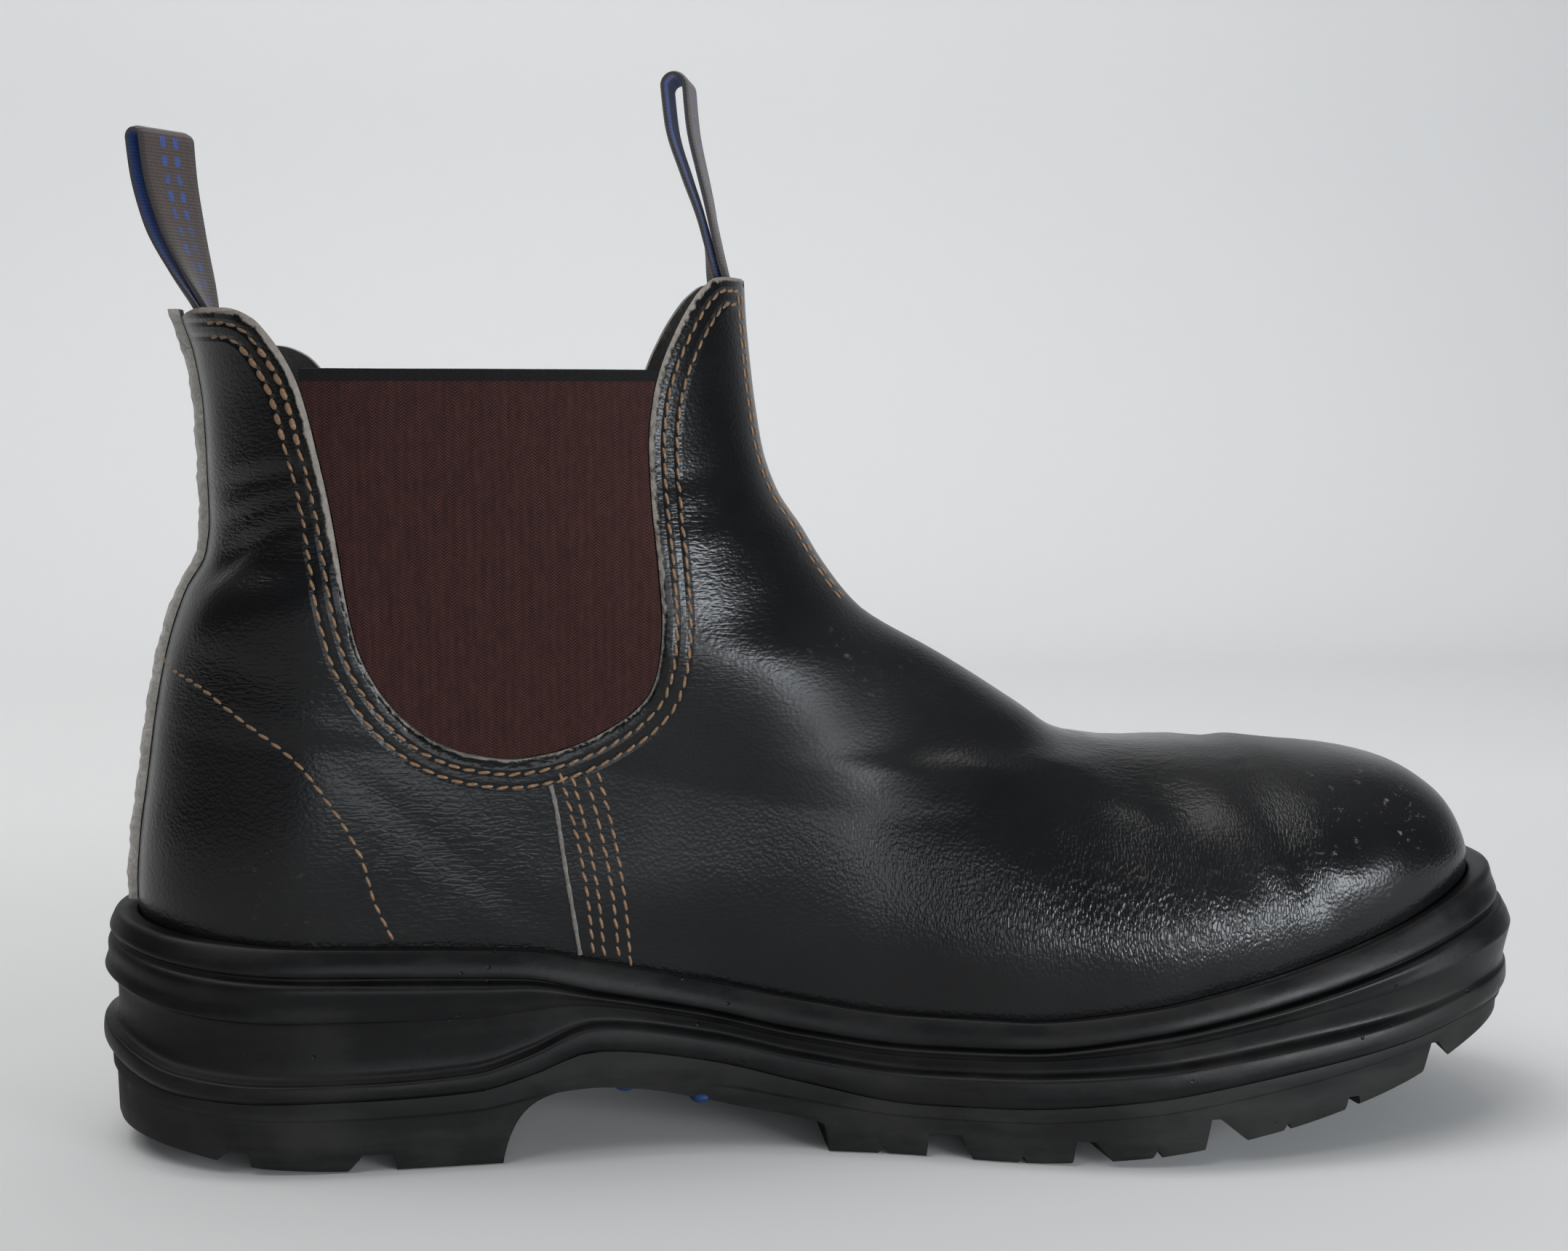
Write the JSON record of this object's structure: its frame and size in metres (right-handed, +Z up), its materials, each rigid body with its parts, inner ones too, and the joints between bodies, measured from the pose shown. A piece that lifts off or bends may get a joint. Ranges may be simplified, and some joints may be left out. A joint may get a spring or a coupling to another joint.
{
  "type": "side gore work boot",
  "caption": "Left black leather side-gore work boot, hollow, on a lugged rubber sole, with elastic side panels, a raised back seam and woven pull loops at front and back.",
  "frame": {"origin": "on the floor plane under the middle of the boot's bounding box", "axes": "+X towards the toe, +Z up, -Y towards the inner side of the foot, so +Y is the outer side of this left boot"},
  "size_m": [0.301, 0.1068, 0.2199],
  "materials": {
    "leather_black": "satin, smooth grain",
    "raw_leather": "matte raw edge",
    "elastic_brown": "matte ribbed knit",
    "tape_brown": "matte woven tape",
    "footbed_grey": "matte felt",
    "foam_black": "satin moulded",
    "tread_black": "matte, worn"
  },
  "bodies": {
    "root": {"upper": "leather_black", "back_seam": "raw_leather", "gore_inner": "elastic_brown", "gore_outer": "elastic_brown", "front_pull_loop": "tape_brown", "rear_pull_loop": "tape_brown", "insole": "footbed_grey", "midsole": "foam_black", "outsole": "tread_black"}
  },
  "joints": []
}
